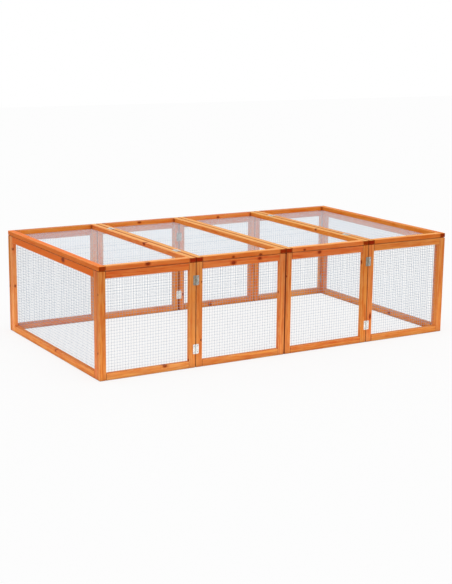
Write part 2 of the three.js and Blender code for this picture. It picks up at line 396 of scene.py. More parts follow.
def metal_material(name, bright, dull, roughness, spangle, metallic):
    """Zinc: bright and dull patches, spangle being their number a metre, dulled by the wear attribute."""
    s = Shader(bpy.data.materials.new(name))
    place = s.node("TexCoord").outputs["Object"]
    patches = s.noise(place, spangle, 4.0, 0.6)
    fine = s.noise(place, spangle * FINE_PER_PATCH, 3.0, 0.6)
    share = s.math("ADD", s.ramp(patches, *PATCH_RAMP), s.attribute("wear"))
    colour = s.mix(share, bright, dull)
    rough = s.ramp(fine, *FINE_RANGE, roughness - SMOOTHER, roughness + ROUGHER)
    return s.finish(s.surface(colour, rough, s.bump(fine, *METAL_BUMP), metallic=metallic))


WOOD = wood_material()
WIRE = metal_material("zinc_wire", srgb(228, 240, 250), srgb(146, 164, 184), 0.45, 260, 0.2)
PLATE = metal_material("zinc_plate", srgb(240, 240, 238), srgb(150, 146, 132), 0.3, 420, 0.7)
STEEL = metal_material("zinc_screw", srgb(205, 203, 196), srgb(120, 116, 108), 0.34, 600, 0.85)


# ------------ pieces

def basis(x_axis, y_axis, z_axis, origin):
    """The matrix that takes local x, y and z to these axes at that origin."""
    return Matrix.Translation(origin) @ Matrix((x_axis, y_axis, z_axis)).transposed().to_4x4()


def mesh_of(name, points, faces, **attributes):
    """A mesh of points and faces. An attribute is one value for each point, or one for all of them."""
    mesh = bpy.data.meshes.new(name)
    mesh.from_pydata(points, [], faces)
    for key, values in attributes.items():
        if not isinstance(values, list):
            values = [values] * len(points)
        is_vector = isinstance(values[0], (tuple, Vector))
        kind, field = ("FLOAT_VECTOR", "vector") if is_vector else ("FLOAT", "value")
        flat = [number for value in values for number in value] if is_vector else values
        mesh.attributes.new(key, kind, "POINT").data.foreach_set(field, flat)
    mesh.update()
    return mesh


def add_object(name, data):
    """A new object in the scene."""
    made = bpy.data.objects.new(name, data)
    bpy.context.scene.collection.objects.link(made)
    return made


def add_piece(name, mesh, material, matrix, body, slot, *nodes):
    """A piece of the run in its place, which rides on a body and may stand for some CAD nodes."""
    piece = add_object(name, mesh)
    if not mesh.materials:
        mesh.materials.append(material)
    piece.matrix_world = matrix
    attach(piece, body)
    if nodes:
        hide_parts(*nodes)


def ring_faces(first, rings, count):
    """The faces between rings of count points each, which follow each other from the first point on."""
    return [(low + step, low + (step + 1) % count, low + count + (step + 1) % count, low + count + step)
            for low in range(first, first + (rings - 1) * count, count) for step in range(count)]


def smooth(mesh, degrees):
    """Smooth shading, with edges over that angle kept sharp."""
    mesh.shade_smooth()
    mesh.set_sharp_from_angle(angle=math.radians(degrees))


class Panel:
    """A framed panel with its own axes, from the middle of its lower outer edge: across, up and out."""

    def __init__(self, name, out, up):
        low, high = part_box(f"{name}_frame")
        size = high - low
        self.name, self.out, self.up = name, out, up
        self.across = up.cross(out)
        self.width = abs(size.dot(self.across))
        self.height = abs(size.dot(up))
        self.origin = (low + high) / 2 + out * abs(size.dot(out)) / 2 - up * self.height / 2
        self.matrix = basis(self.across, up, out, self.origin)

    def local_box(self, node):
        """A node's lowest and highest corners in the panel's axes."""
        inverse = self.matrix.inverted()
        corners = [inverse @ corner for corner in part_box(node)]
        return Vector(map(min, *corners)), Vector(map(max, *corners))


SIDES = {"front": -Y, "back": Y}
PANELS_PER_SIDE = 4
NUMBERS = range(1, PANELS_PER_SIDE + 1)
PANELS = [Panel(f"{side}_{index}", out, Z) for side, out in SIDES.items() for index in NUMBERS]
PANELS += [Panel("left_end", -X, Z), Panel("right_end", X, Z)]
PANELS += [Panel(f"lid_{index}", Z, Y) for index in NUMBERS]


# ------------ sticks

# Knots that show: along the stick and across its face from their middles and radius, in mm, and slant.
KNOTS = {
    "front_1_left_stile": [(-113, "far", -5, 2.4), (134, "far", 1, 2.4)],
    "front_1_bottom_rail": [(78, "outer", 12, 6.0, 0.2)],
    "front_1_right_stile": [(-193, "far", 4, 3.0)],
    "front_2_left_stile": [(-110, "outer", -9, 3.0), (143, "outer", -11, 2.2)],
    "front_2_top_rail": [(-43, "outer", -2, 6.2, 0.2), (90, "outer", 5, 4.6, 0.6)],
    "front_2_right_stile": [(58, "far", 0, 3.0)],
    "front_3_left_stile": [(126, "outer", 12, 2.2)],
    "front_3_top_rail": [(-48, "outer", 6, 5.4)],
    "front_3_right_stile": [(151, "far", 0, 4.0, 0.6)],
    "front_4_left_stile": [(-108, "outer", -4, 4.0, 1.8)],
    "lid_1_front_rail": [(-2, "near", 3, 6.0)],
    "lid_2_front_rail": [(-44, "near", -4, 3.6), (94, "near", -6, 4.4)],
    "lid_3_front_rail": [(-129, "near", -4, 3.4)],
    "lid_1_right_stick": [(-78, "far", 6, 6.0, 0.3)],
    "lid_3_right_stick": [(-118, "far", 7, 4.0)],
    "lid_2_back_rail": [(-3, "near", 5, 5.0)],
    "lid_3_back_rail": [(-5, "near", -2, 4.0)],
    "left_end_top_rail": [(142, "outer", 6, 8.0, 0.3)],
    "left_end_bottom_rail": [(45, "outer", 11, 4.0)],
    "left_end_back_stile": [(170, "outer", -12, 3.4), (-7, "near", 0, 3.4)],
    "right_end_bottom_rail": [(-125, "inner", -3, 5.0)],
    "back_1_left_stile": [(-11, "near", 0, 3.0)],
    "back_3_left_stile": [(-147, "inner", 7, 3.6)],
    "back_3_bottom_rail": [(42, "inner", -3, 5.0)],
}
# Tint, warmth and depth of stain of each kind of stick in the run, beyond what its wood has by chance. In
# part these are painted light and shade: the bottom rails and stiles lighter and yellower, the top rails
# and all the lids' sticks darker and redder.
TONES = {
    "top_rail": (0.0, -0.4, 0.27),
    "bottom_rail": (0.6, 0.2, 0.0),
    "stile": (0.5, 0.1, 0.0),
    "front_rail": (0.0, -0.6, 0.34),
    "back_rail": (-0.4, -0.4, 0.0),
    "stick": (-0.8, -0.5, 0.0),
}
OWN_TONES = {
    "left_end_top_rail": (0.9, -0.4, 0.8),
    "left_end_bottom_rail": (-0.8, -0.1, 0.1),
    "lid_1_left_stick": (-0.3, 0.2, 0.55),
    "lid_4_right_stick": (-1.7, 0.0, 0.0),
    "lid_4_back_rail": (-1.5, -0.6, 0.1),
    "left_end_back_stile": (3.2, -0.3, 0.0),
    "back_1_left_stile": (-2.0, 0.0, 0.0),
    "front_1_bottom_rail": (2.2, 0.2, 0.0),
    "front_4_top_rail": (0.6, 1.2, 0.15),
}
CHANCE_TONE = 0.8
# Sticks with a painted highlight along their top faces, and how strong it is in the middle.
HIGHLIGHT_STICKS = ("stick", "front_rail")
HIGHLIGHT_SHARE = 0.75
FACES = {"outer": (0, 0, 1), "inner": (0, 0, -1), "near": (0, -1, 0), "far": (0, 1, 0)}
NO_KNOT = ((-9e4, 0, 0), (0, 0, 1.0))
# What chance decides, in mm: the pith, the place along the log, and a knot where none is listed.
PITH_ASIDE, PITH_DEPTH = 14, (18, 60)
LOG_LENGTH = 4000
STRAY_KNOT_CHANCE = 0.6
STRAY_ALONG, STRAY_ASIDE = 0.4, 6
STRAY_RADIUS, STRAY_SLANT = (2, 4.5), (0, 0.8)
SEEDS_PER_PANEL = 10
CORNER_NEARNESS = 1 * MM


def knot_place(along, face, offset, radius, slant=0.0):
    """A knot's centre on the stick's surface and its axis, as long as its radius, in mm."""
    out = Vector(FACES[face])
    half = STICK_THICKNESS / 2 / MM if out.z else STICK_WIDTH / 2 / MM
    sideways = Vector((0, abs(out.z), abs(out.y)))
    centre = Vector((along, 0, 0)) + out * half + sideways * offset
    axis = (out + Vector((slant, 0, 0))).normalized() * radius
    return centre, axis


def section_points():
    """Points round a stick's cross-section as (y, z, edge, turn), edge being 1 along a rounded edge."""
    half_y, half_z = STICK_WIDTH / 2 - EDGE_RADIUS, STICK_THICKNESS / 2 - EDGE_RADIUS
    corners = []
    for quarter, (side_y, side_z) in enumerate(((1, 1), (-1, 1), (-1, -1), (1, -1))):
        angles = [(quarter + step / EDGE_STEPS) * math.pi / 2 for step in range(EDGE_STEPS + 1)]
        corners.append([(side_y * half_y + EDGE_RADIUS * math.cos(angle),
                         side_z * half_z + EDGE_RADIUS * math.sin(angle), 1.0, math.cos(angle))
                        for angle in angles])
    points = []
    for number, corner in enumerate(corners):
        start, end = corner[-1], corners[(number + 1) % 4][0]
        points += corner
        for share in FLAT_SHARES:
            y, z = (start[axis] + (end[axis] - start[axis]) * share for axis in (0, 1))
            points.append((y, z, 0.0, end[3]))
    return points


SECTION = section_points()


def stick_rings(length):
    """Where a stick's rings of points lie along it, each with how far the ring is drawn in and its cap."""
    ends = [(x * END_BEVEL, inset * END_BEVEL, cap) for x, inset, cap in END_STEPS]
    inner = max(1, round((length - 4 * END_BEVEL) / STICK_STEP))
    start, stop = 2 * END_BEVEL, length - 2 * END_BEVEL
    middle = [(start + (stop - start) * step / inner, 0.0, 0.0) for step in range(inner + 1)]
    return ends + middle + [(length - x, inset, cap) for x, inset, cap in reversed(ends)]


def stick_tone(name):
    """The tint, warmth and depth of stain, in part painted light and shade, that a stick's place in the run
    gives it.
    """
    if name in OWN_TONES:
        return OWN_TONES[name]
    return next(tone for kind, tone in TONES.items() if name.endswith(kind))


def push_out(x, y, z, edge, seed):
    """How far a stick's point stands out, with the faces' waves and the edges' dents."""
    along, across = WAVE_SCALE
    wave = WAVE * noise.noise(Vector((x * along, y * across, z * across + seed)))
    along, across = DENT_SCALE
    dent = noise.noise(Vector((x * along + seed, y * across, z * across)))
    return wave - EDGE_DENT * edge * max(0.0, dent - DENT_START)


def stick_mesh(name, length, is_rail, joint, arris, stray_face, seed):
    """A stick centred on the origin, x along it and z out of the panel.

    Painted shade, with some stain, darkens its joint side, with the side of y and the strength in joint,
    and along one arris, given by the signs of its y and z."""
    draw = random.Random(seed)
    pith = Vector((0, draw.uniform(-PITH_ASIDE, PITH_ASIDE), -draw.uniform(*PITH_DEPTH)))
    shift = Vector((draw.uniform(0, LOG_LENGTH), 0, 0))
    knots = [knot_place(*row) for row in KNOTS.get(name, [])]
    if not knots and draw.random() < STRAY_KNOT_CHANCE:
        along = draw.uniform(-STRAY_ALONG, STRAY_ALONG) * length / MM
        aside = draw.uniform(-STRAY_ASIDE, STRAY_ASIDE)
        radius, slant = draw.uniform(*STRAY_RADIUS), draw.uniform(*STRAY_SLANT)
        knots.append(knot_place(along, stray_face, aside, radius, slant))
    # Lid sticks and front rails get a painted highlight on their top faces.
    has_highlight = name.endswith(HIGHLIGHT_STICKS) and name not in OWN_TONES
    end_reach, top_shade = RAIL_SEAM, 0.0
    if name.endswith("back_rail"):
        end_reach, top_shade = BACK_RAIL_SEAM, BACK_RAIL_TOP_SHADE
    points, grain, edges, caps, seam_shades_and_stains, pale = [], [], [], [], [], []
    for x, inset, cap in stick_rings(length):
        from_end = min(x, length - x)
        for y, z, edge, turn in SECTION:
            y_in = y - math.copysign(inset, y) if abs(y) > inset else 0.0
            z_in = z - math.copysign(inset, z) if abs(z) > inset else 0.0
            out = Vector((0, y, z)).normalized() * push_out(x, y, z, edge, seed)
            point = Vector((x - length / 2, y_in, z_in)) + out
            points.append(point)
            grain.append(point / MM - pith + shift)
            # Painted shade, with some stain, on the stick's side in the joint gap and spreading a little
            # onto its faces.
            from_side = STICK_WIDTH / 2 - y * math.copysign(1, joint)
            spread = abs(joint) * (1 - from_side / (SHADE_AND_STAIN_REACH * abs(joint))) if joint else 0.0
            at_joint = max(0.0, turn * joint, spread)
            # Painted shadow, with some stain, along one arris.
            at_arris = ARRIS_SHADE_AND_STAIN * edge if arris and y * arris[0] > 0 and z * arris[1] > 0 else 0.0
            # Painted shade, with some stain, near a rail's ends.
            at_end = max(0.0, 1 - from_end / end_reach) if is_rail else 0.0
            # Painted shade on a back rail's top face.
            at_top = top_shade if z > TOP_FACE_FROM else 0.0
            edges.append(edge * (1 - cap) * (1 - at_joint) * (1 - at_arris))
            caps.append(cap)
            seam_shades_and_stains.append(max(at_joint, at_end, at_arris, at_top))
            # The painted highlight is strongest down the middle of the top face.
            pale.append(HIGHLIGHT_SHARE * (1 - 2 * abs(y) / STICK_WIDTH) if has_highlight and z > 0 else 0.0)
    count = len(SECTION)
    rings = len(points) // count
    faces = [tuple(reversed(range(count))), tuple(range((rings - 1) * count, rings * count))]
    faces += ring_faces(0, rings, count)
    places = [(tuple(centre - pith + shift), tuple(axis)) for centre, axis in knots]
    places += [NO_KNOT] * (KNOTS_PER_STICK - len(places))
    tint, warmth, depth = stick_tone(name)
    constants = {"tint": tint + draw.uniform(-CHANCE_TONE, CHANCE_TONE),
                 "warmth": warmth + draw.uniform(-CHANCE_TONE, CHANCE_TONE), "depth": depth}
    for number, (centre, axis) in enumerate(places, start=1):
        constants[f"knot{number}_centre"] = centre
        constants[f"knot{number}_axis"] = axis
    mesh = mesh_of(name, points, faces, grain=grain, edge=edges, cap=caps, seam=seam_shades_and_stains, pale=pale,
                   **constants)
    smooth(mesh, SMOOTH_WOOD)
    return mesh


def side_word(direction):
    """The run's own word for a direction that a panel's stick lies in."""
    axis = max(range(3), key=lambda number: abs(direction[number]))
    words = (("left", "right"), ("front", "back"), ("bottom", "top"))[axis]
    return words[direction[axis] > 0]


def joint_shade_and_stain(x, is_lid):
    """How much painted shade, with some stain, lies in the joint of walls or lids that is nearest to x."""
    pitch = (CAD_BOX[1].x - CAD_BOX[0].x) / PANELS_PER_SIDE
    number = round((x - CAD_BOX[0].x) / pitch)
    return (LID_JOINT_SHADE_AND_STAIN if is_lid else WALL_JOINT_SHADE_AND_STAIN)[number]


def add_sticks(panel, first_seed):
    """The four sticks of a panel: two stiles along its height and two rails between them."""
    is_lid = panel.out == Z
    stray_face = "outer" if panel.out in (X, Y) else "inner"
    middle = panel.height / 2
    mid_depth = -STICK_THICKNESS / 2
    stile_at = (panel.width - STICK_WIDTH) / 2
    rail_at = (panel.height - STICK_WIDTH) / 2
    rail_length = panel.width - 2 * STICK_WIDTH - 2 * RAIL_GAP
    rows = []
    for side in (-1, 1):
        word = side_word(panel.across * side)
        edge_x = (panel.origin + panel.across * side * panel.width / 2).x
        is_corner = abs(edge_x) > CAD_BOX[1].x - CORNER_NEARNESS and panel.out.x == 0
        # How strongly painted shade, with some stain, darkens this stile's side in the joint gap.
        gap_shade_and_stain = CORNER_SHADE_AND_STAIN if panel.out.x else joint_shade_and_stain(edge_x, is_lid)
        rows.append((f"{word}_stick" if is_lid else f"{word}_stile", panel.height, False,
                     0 if is_corner else -side * gap_shade_and_stain, (-side, -1) if is_corner else None,
                     Vector((side * stile_at, middle, mid_depth)), (Y, -X, Z)))
        # The arris where a lid and a wall meet takes painted shadow.
        meets_lid = (side, -1) if is_lid else (1, 1) if side > 0 else None
        # A wall's bottom rail takes painted shade on its face under the window.
        sill = SILL_SHADE if side < 0 and not is_lid else 0
        rows.append((f"{side_word(panel.up * side)}_rail", rail_length, True, sill, meets_lid,
                     Vector((0, middle + side * rail_at, mid_depth)), (X, Y, Z)))
    for number, (word, length, is_rail, joint, arris, centre, axes) in enumerate(rows):
        name = f"{panel.name}_{word}"
        mesh = stick_mesh(name, length, is_rail, joint, arris, stray_face, first_seed + number)
        matrix = panel.matrix @ basis(*axes, centre)
        add_piece(name, mesh, WOOD, matrix, panel.name, "stained_wood", f"{panel.name}_frame")


# ------------ wire mesh and staples

def add_tube(points, faces, path, radius, sides):
    """A closed tube of that radius along a path that keeps roughly one direction."""
    first = len(points)
    along = (path[-1] - path[0]).normalized()
    side = along.orthogonal().normalized()
    other = along.cross(side)
    for centre in path:
        for step in range(sides):
            angle = 2 * math.pi * step / sides
            points.append(centre + (side * math.cos(angle) + other * math.sin(angle)) * radius)
    last = first + (len(path) - 1) * sides
    faces += ring_faces(first, len(path), sides)
    faces += [tuple(reversed(range(first, first + sides))), tuple(range(last, last + sides))]


def wire_places(low, high):
    """Where the wires of one layer lie between two edges."""
    span = high - low - 2 * WIRE_OVERHANG
    count = round(span / WIRE_PITCH)
    return [low + WIRE_OVERHANG + span * step / count for step in range(count + 1)]


def add_wire_mesh(panel, seed):
    """The welded sheet behind a panel, in the panel's axes: upright wires, then level ones behind them."""
    low, high = panel.local_box(f"{panel.name}_mesh")
    wood_face = -STICK_THICKNESS
    uprights, levels = wire_places(low.x, high.x), wire_places(low.y, high.y)

    def share_across(value, axis):
        return math.sin(math.pi * (value - low[axis]) / (high[axis] - low[axis]))

    def wire_path(fixed, start, end, is_upright):
        depth = WIRE_RADIUS if is_upright else 3 * WIRE_RADIUS - WIRE_SINK
        steps = max(2, round((end - start) / WIRE_STEP))
        path = []
        for step in range(steps + 1):
            share = step / steps
            along = start + (end - start) * share
            spot = Vector((along * WANDER_SCALE[0], fixed * WANDER_SCALE[1], seed + 9 * is_upright))
            wander = WIRE_WANDER * noise.noise(spot)
            u, v = (fixed + wander, along) if is_upright else (along, fixed + wander)
            unevenness = 1 + noise.noise(Vector((u * BULGE_SCALE, v * BULGE_SCALE, seed)))
            bulge = SHEET_BULGE * share_across(u, 0) * share_across(v, 1) * unevenness / 2
            path.append(Vector((u, v, wood_face - depth - bulge)))
        return path

    points, faces = [], []
    for u in uprights:
        add_tube(points, faces, wire_path(u, low.y, high.y, True), WIRE_RADIUS, WIRE_SIDES)
    for v in levels:
        ends = uprights[0] - WIRE_RADIUS, uprights[-1] + WIRE_RADIUS
        add_tube(points, faces, wire_path(v, *ends, False), WIRE_RADIUS, WIRE_SIDES)
    # Lid wires get brighter zinc as painted light, wall wires duller as painted shade.
    wear = LID_WIRE_WEAR_AND_LIGHT if panel.out == Z else WALL_WIRE_WEAR_AND_SHADE
    mesh = mesh_of(f"{panel.name}_wires", points, faces, wear=wear)
    smooth(mesh, SMOOTH_WIRE)
    add_piece(f"{panel.name}_wire_mesh", mesh, WIRE, panel.matrix, panel.name, "zinc_wire",
              f"{panel.name}_mesh")
    add_staples(panel, uprights, low, high)


def add_box(points, faces, low, high):
    """A closed block between two corners."""
    first = len(points)
    points += [Vector((x, y, z)) for z in (low.z, high.z) for y in (low.y, high.y) for x in (low.x, high.x)]
    for face in ((0, 2, 3, 1), (4, 5, 7, 6), (0, 1, 5, 4), (2, 6, 7, 3), (0, 4, 6, 2), (1, 3, 7, 5)):
        faces.append(tuple(first + corner for corner in face))


def staple_spots(panel, uprights, low, high):
    """Where staples lie: on the rails at chosen upright wires, and up both outer wires."""
    spots = []
    every = round(STAPLE_PITCH / WIRE_PITCH)
    lower = min(low.y + STAPLE_INTO_SHEET, STICK_WIDTH - STAPLE_INTO_WOOD)
    upper = max(high.y - STAPLE_INTO_SHEET, panel.height - STICK_WIDTH + STAPLE_INTO_WOOD)
    for v in (lower, upper):
        for number in range(every // 2, len(uprights), every):
            spots.append((uprights[number], v))
    count = round(panel.height * STAPLE_STRETCH / STAPLE_PITCH)
    for u in (uprights[0], uprights[-1]):
        for step in range(count + 1):
            spots.append((u, panel.height * (0.5 + STAPLE_STRETCH * (step / count - 0.5))))
    return spots


def add_staples(panel, uprights, low, high):
    """Flat-crowned staples over the upright wires, their legs in the wood."""
    wide, thick = STAPLE_WIRE
    crown = -STICK_THICKNESS - 2 * WIRE_RADIUS
    points, faces = [], []
    for u, v in staple_spots(panel, uprights, low, high):
        left, right = u - STAPLE_WIDTH / 2, u + STAPLE_WIDTH / 2
        low_v, high_v = v - wide / 2, v + wide / 2
        add_box(points, faces, Vector((left, low_v, crown - thick)), Vector((right, high_v, crown)))
        for leg in (left, right - thick):
            leg_high = Vector((leg + thick, high_v, -STICK_THICKNESS + STAPLE_LEG))
            add_box(points, faces, Vector((leg, low_v, crown)), leg_high)
    mesh = mesh_of(f"{panel.name}_staples", points, faces, wear=0.0)
    add_piece(f"{panel.name}_staples", mesh, PLATE, panel.matrix, panel.name, "zinc_hinge")


# ------------ hinges

def arc(centre, radius, start, end, steps):
    """Points on an arc, angles in degrees, as (x, y)."""
    turns = [math.radians(start + (end - start) * step / steps) for step in range(steps + 1)]
    return [(centre[0] + radius * math.cos(turn), centre[1] + radius * math.sin(turn)) for turn in turns]


def circle(radius, centre=(0, 0)):
    """A closed circle's points as (x, y)."""
    return arc(centre, radius, 0, 360 - 360 / CIRCLE_SIDES, CIRCLE_SIDES - 1)


def add_loop(bm, outline, height):
    """The outline's points at one height."""
    return [bm.verts.new((x, y, height)) for x, y in outline]


def add_cover(bm, rings):
    """Flat faces within the first ring and outside the others."""
    edges = [bm.edges.new(pair) for ring in rings for pair in zip([ring[-1]] + ring, ring)]
    bmesh.ops.triangle_fill(bm, use_beauty=True, use_dissolve=False, edges=edges)


def add_band(bm, first, second):
    """The faces between two rings of as many points."""
    for step in range(len(first)):
        bm.faces.new((first[step - 1], first[step], second[step], second[step - 1]))


def add_slab(bm, outline, holes, low, high):
    """A flat closed slab between two heights. Each hole is its outline at the top and at the bottom."""
    levels = []
    for height, which in ((high, 0), (low, 1)):
        rings = [add_loop(bm, loop, height) for loop in [outline] + [hole[which] for hole in holes]]
        add_cover(bm, rings)
        levels.append(rings)
    for top, bottom in zip(*levels):
        add_band(bm, top, bottom)


def add_strip(bm, path, low, high, thickness):
    """A bent strip of sheet: a path of (x, z) middle points, from y = low to y = high."""
    rims = []
    for number, (x, z) in enumerate(path):
        before, after = path[max(0, number - 1)], path[min(len(path) - 1, number + 1)]
        along = Vector((after[0] - before[0], after[1] - before[1])).normalized()
        offset = Vector((-along.y, along.x)) * thickness / 2
        corners = [(x + offset.x, z + offset.y), (x - offset.x, z - offset.y)]
        rims.append([bm.verts.new((px, y, pz)) for px, pz in corners for y in (low, high)])
    for before, after in zip(rims, rims[1:]):
        for a, b in ((0, 1), (1, 3), (3, 2), (2, 0)):
            bm.faces.new((before[a], before[b], after[b], after[a]))
    bm.faces.new([rims[0][n] for n in (0, 2, 3, 1)])
    bm.faces.new([rims[-1][n] for n in (0, 1, 3, 2)])


def add_sleeve(bm, outer, inner, low, high):
    """A closed tube round the y axis."""
    rings = []
    for radius, y in ((outer, low), (outer, high), (inner, high), (inner, low)):
        rings.append([bm.verts.new((x, y, z)) for x, z in circle(radius)])
    for number, ring in enumerate(rings):
        add_band(bm, ring, rings[(number + 1) % len(rings)])


def finished(bm, name, bevel, wear):
    """The bmesh as a mesh with its faces out and its sharp edges eased."""
    bmesh.ops.recalc_face_normals(bm, faces=bm.faces)
    if bevel:
        least = math.radians(EASED_ANGLE)
        sharp = [edge for edge in bm.edges if edge.is_manifold and edge.calc_face_angle(0) > least]
        bmesh.ops.bevel(bm, geom=sharp, offset=bevel, segments=2, affect="EDGES", clamp_overlap=True)
    mesh = bpy.data.meshes.new(name)
    bm.to_mesh(mesh)
    bm.free()
    data = mesh.attributes.new("wear", "FLOAT", "POINT").data
    data.foreach_set("value", [wear] * len(data))
    smooth(mesh, SMOOTH_METAL)
    return mesh


def screw_holes():
    """A leaf's countersunk holes, each as its rim on top and its bore below."""
    rim = SCREW_HEAD + SINK_CLEARANCE
    centres = [(SCREW_REACH, side * SCREW_SPACING / 2) for side in (-1, 1)]
    return [(circle(rim, centre), circle(SCREW_SHANK, centre)) for centre in centres]


hinge_low, hinge_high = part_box("front_hinge_12_lower_pin_leaf")
HINGE_HEIGHT = hinge_high.z - hinge_low.z


def knuckle_stretches():
    """The stretches along y, each as (high, low), of the two outer knuckles and of the middle one."""
    half = HINGE_HEIGHT / 2
    outer = HINGE_HEIGHT / 3 - KNUCKLE_GAP / 2
    middle = HINGE_HEIGHT / 3 - KNUCKLE_GAP
    return [(half, half - outer), (outer - half, -half)], [(middle / 2, -middle / 2)]


OUTER_KNUCKLES, MIDDLE_KNUCKLE = knuckle_stretches()


def leaf_outline(knuckles, clear):
    """A leaf's outline on the +x side of its axis, with a tongue into each knuckle."""
    half = HINGE_HEIGHT / 2
    corner_x, corner_y = LEAF_REACH - LEAF_CORNER, half - LEAF_CORNER
    outline = arc((corner_x, corner_y), LEAF_CORNER, 0, 90, LEAF_CORNER_STEPS)
    if knuckles[0][0] < half:
        outline.append((clear, half))
    for high, low in knuckles:
        if high < half:
            outline.append((clear, high))
        outline += [(TONGUE * clear, high), (TONGUE * clear, low)]
        if low > -half:
            outline.append((clear, low))
    if knuckles[-1][1] > -half:
        outline.append((clear, -half))
    return outline + arc((corner_x, -corner_y), LEAF_CORNER, -90, 0, LEAF_CORNER_STEPS)


def leaf_mesh(name, knuckles, wear):
    """A leaf on the +x side of its axis: the plate, and each knuckle's stretch rolled round the pin."""
    clear = KNUCKLE_RADIUS + KNUCKLE_GAP
    bm = bmesh.new()
    add_slab(bm, leaf_outline(knuckles, clear), screw_holes(), LEAF_SEAT, LEAF_SEAT + LEAF_THICKNESS)
    sheet = LEAF_SEAT + LEAF_THICKNESS / 2
    curl = [(clear + CURL_LAP, sheet), (clear, sheet)]
    curl += arc((0, AXIS_HEIGHT), KNUCKLE_RADIUS - LEAF_THICKNESS / 2, *CURL, CURL_STEPS)
    for high, low in knuckles:
        add_strip(bm, curl, low, high, LEAF_THICKNESS)
    return finished(bm, name, LEAF_BEVEL, wear)


def turned(name, profile, sides, wear):
    """A body of revolution about z from a profile of (radius, height) that starts and ends on the axis."""
    turns = [2 * math.pi * step / sides for step in range(sides)]
    points = [Vector((0, 0, profile[0][1]))]
    for radius, height in profile[1:-1]:
        points += [Vector((radius * math.cos(turn), radius * math.sin(turn), height)) for turn in turns]
    points.append(Vector((0, 0, profile[-1][1])))
    faces, last = ring_faces(1, len(profile) - 2, sides), len(points) - 1
    for step in range(sides):
        nearby = (step + 1) % sides
        faces += [(0, 1 + nearby, 1 + step), (last - sides + step, last - sides + nearby, last)]
    mesh = mesh_of(name, points, faces, wear=wear)
    smooth(mesh, SMOOTH_PIN)
    return mesh


def pin_mesh(name, wear):
    """A hinge pin along z with a low dome on each end, centred on the origin."""
    radius, half = PIN_RADIUS - PIN_CLEARANCE, HINGE_HEIGHT / 2
    upper = [(radius * share, half + PIN_DOME * math.sqrt(1 - share * share)) for share in DOME_SHARES]
    lower = [(reach, -z) for reach, z in reversed(upper)]
    return turned(name, lower + upper, PIN_SIDES, wear)


def screw_mesh(name, wear):
    """A countersunk cross-head screw, its head's rim at z = 0 and its shank down into the wood."""
    arm, half = CROSS_REACH, CROSS_HALF
    cross = [(arm, -half), (arm, half), (half, half), (half, arm), (-half, arm), (-half, half),
             (-arm, half), (-arm, -half), (-half, -half), (-half, -arm), (half, -arm), (half, -half)]
    inner = [(x * CROSS_TAPER, y * CROSS_TAPER) for x, y in cross]
    shank = circle(SCREW_SHANK * SCREW_CORE)
    bm = bmesh.new()
    head, slot = add_loop(bm, circle(SCREW_HEAD), 0), add_loop(bm, cross, SCREW_DOME)
    floor = add_loop(bm, inner, SCREW_DOME - CROSS_DEPTH)
    neck, tip = add_loop(bm, shank, SCREW_SHANK - SCREW_HEAD), add_loop(bm, shank, SCREW_TIP)
    add_cover(bm, (head, slot))
    add_band(bm, slot, floor)
    bm.faces.new(floor)
    add_band(bm, head, neck)
    add_band(bm, neck, tip)
    bm.faces.new(tip)
    return finished(bm, name, 0, wear)


HALF_TURN = Matrix.Rotation(math.pi, 4, "Z")
TURNED_OVER = Matrix.Rotation(math.pi, 4, "X")
PIN_UPRIGHT = Matrix.Rotation(-math.pi / 2, 4, "X")


class HingeKit:
    """The meshes of one finish of butt hinge, which every hinge of that finish shares."""

    def __init__(self, finish, wear, plain_wear):
        self.pin_leaf = leaf_mesh(f"pin_leaf_{finish}", OUTER_KNUCKLES, wear)
        self.plain_leaf = leaf_mesh(f"plain_leaf_{finish}", MIDDLE_KNUCKLE, plain_wear)
        self.pin = pin_mesh(f"pin_{finish}", wear)
        self.screw = screw_mesh(f"screw_{finish}", wear)


BRIGHT = HingeKit("bright", *BRIGHT_WEAR)
DULL = HingeKit("dull", *DULL_WEAR)


def add_screws(name, mesh, matrix, top, body):
    """A leaf's two screws with their heads at that height, each turned as it was left."""
    for number, side in enumerate((-1, 1), start=1):
        spot = Matrix.Translation(Vector((SCREW_REACH, side * SCREW_SPACING / 2, top)))
        turn = Matrix.Rotation(random.Random(f"{name}_{number}").uniform(0, math.pi / 2), 4, "Z")
        add_piece(f"{name}_screw_{number}", mesh, STEEL, matrix @ spot @ turn, body, "zinc_hinge")


def add_hinge(name, kit, matrix, pin_body, plain_body):
    """A hinge whose axes are x towards its pin leaf, y along its pin and z out of the wood."""
    leaves = (("pin_leaf", kit.pin_leaf, matrix, pin_body),
              ("plain_leaf", kit.plain_leaf, matrix @ HALF_TURN, plain_body))
    for word, mesh, place, body in leaves:
        add_piece(f"{name}_{word}_sheet", mesh, PLATE, place, body, "zinc_hinge", f"{name}_{word}")
        add_screws(f"{name}_{word}", kit.screw, place, LEAF_SEAT + LEAF_THICKNESS, body)
    axis = matrix @ Matrix.Translation(Vector((0, 0, AXIS_HEIGHT)))
    add_piece(f"{name}_pin", kit.pin, STEEL, axis @ PIN_UPRIGHT, pin_body, "zinc_hinge")


def joint_hinge(name, kit, out, along, pin_body, plain_body):
    """A hinge in the place of its CAD leaves, flat on the wood whose face looks out."""
    pin_low, pin_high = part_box(f"{name}_pin_leaf")
    plain_low, plain_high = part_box(f"{name}_plain_leaf")
    middle = (Vector(map(min, pin_low, plain_low)) + Vector(map(max, pin_high, plain_high))) / 2
    towards_pin = pin_low + pin_high - plain_low - plain_high
    across = along.cross(out)
    if towards_pin.dot(across) < 0:
        across, along = -across, -along
    face = max(corner.dot(out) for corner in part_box(f"{plain_body}_frame"))
    origin = middle - out * middle.dot(out) + out * face
    add_hinge(name, kit, basis(across, along, out, origin), pin_body, plain_body)


